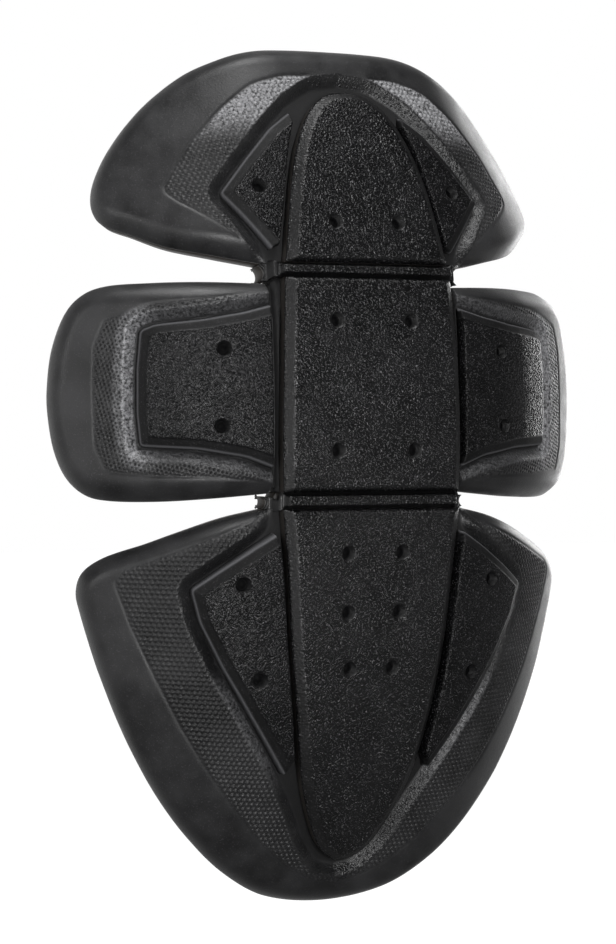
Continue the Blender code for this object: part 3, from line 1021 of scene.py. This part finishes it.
def facing(tree, place, dark, bright):
    """A multiplier that is dark in front of the pad and to its right, and bright behind it."""
    toward = tree.nodes.new("ShaderNodeVectorMath")
    toward.operation = "DOT_PRODUCT"
    toward.inputs[1].default_value = (0.64, -0.77, 0)
    tree.links.new(place, toward.inputs[0])
    split = tree.nodes.new("ShaderNodeSeparateXYZ")
    tree.links.new(place, split.inputs[0])
    fade = tree.nodes.new("ShaderNodeMapRange")
    fade.interpolation_type = "SMOOTHSTEP"
    for key, number in (("From Min", -0.25), ("From Max", 0.75), ("To Min", bright), ("To Max", dark)):
        fade.inputs[key].default_value = number
    tree.links.new(toward.outputs["Value"], fade.inputs["Value"])
    return fade.outputs["Result"], split.outputs["Z"]


def make_room():
    """A floor well under the pad, which is held up, glowing pale far off and dim near the pad as a painted
    shadow, and a pale sky that darkens overhead.
    """
    bpy.ops.mesh.primitive_circle_add(vertices=96, radius=30, fill_type="TRIFAN",
                                      location=(0, 0, cad_low.z - 0.11))
    floor = bpy.context.object
    floor.name = "floor"
    material = bpy.data.materials.new("floor")
    material.use_nodes = True
    tree = material.node_tree
    shader = tree.nodes["Principled BSDF"]
    shader.inputs["Base Color"].default_value = (0.15, 0.15, 0.15, 1)
    shader.inputs["Roughness"].default_value = 0.9
    shader.inputs["Specular IOR Level"].default_value = 0.1
    spot = tree.nodes.new("ShaderNodeTexCoord")
    reach = tree.nodes.new("ShaderNodeVectorMath")
    reach.operation = "LENGTH"
    tree.links.new(spot.outputs["Object"], reach.inputs[0])
    toward = tree.nodes.new("ShaderNodeVectorMath")
    toward.operation = "NORMALIZE"
    tree.links.new(spot.outputs["Object"], toward.inputs[0])
    # the floor glows: dim in front of the pad and to its right, and dim near the pad as a painted shadow
    # under it
    turn, _ = facing(tree, toward.outputs[0], 0.28, 1.0)
    fade = tree.nodes.new("ShaderNodeMapRange")
    fade.interpolation_type = "SMOOTHSTEP"
    for key, number in (("From Min", 0.15), ("From Max", 0.75), ("To Min", 0.10), ("To Max", 0.97)):
        fade.inputs[key].default_value = number
    tree.links.new(reach.outputs["Value"], fade.inputs["Value"])
    glow = tree.nodes.new("ShaderNodeMath")
    glow.operation = "MULTIPLY"
    tree.links.new(turn, glow.inputs[0])
    tree.links.new(fade.outputs["Result"], glow.inputs[1])
    shader.inputs["Emission Color"].default_value = (1, 1, 1, 1)
    tree.links.new(glow.outputs[0], shader.inputs["Emission Strength"])
    floor.data.materials.append(material)

    world = bpy.data.worlds.new("studio")
    bpy.context.scene.world = world
    world.use_nodes = True
    tree = world.node_tree
    spot = tree.nodes.new("ShaderNodeTexCoord")
    turn, height = facing(tree, spot.outputs["Generated"], 0.15, 1.0)
    fade = tree.nodes.new("ShaderNodeMapRange")
    fade.interpolation_type = "SMOOTHSTEP"
    for key, number in (("From Min", 0.18), ("From Max", 0.5), ("To Min", 1.0), ("To Max", 0.22)):
        fade.inputs[key].default_value = number
    tree.links.new(height, fade.inputs["Value"])
    glow = tree.nodes.new("ShaderNodeMath")
    glow.operation = "MULTIPLY"
    tree.links.new(turn, glow.inputs[0])
    tree.links.new(fade.outputs["Result"], glow.inputs[1])
    tree.links.new(glow.outputs[0], tree.nodes["Background"].inputs["Strength"])
    tree.nodes["Background"].inputs["Color"].default_value = (1, 1, 1, 1)


make_camera()
make_room()
softbox("front_light", -10, -3, 1.5, (0.34, 0.36), 19)
softbox("left_front_light", -42, 2, 1.5, (0.4, 0.42), 2)
softbox("left_light", -75, 14, 1.5, (0.35, 0.6), 5.5)
softbox("high_front_light", 0, 58, 1.5, (0.7, 0.4), 9)
softbox("top_light", 0, 80, 1.5, (0.6, 0.6), 18)
softbox("right_light", 122, 2, 1.5, (0.5, 1.3), 13)
bpy.context.scene.view_settings.view_transform = "Standard"
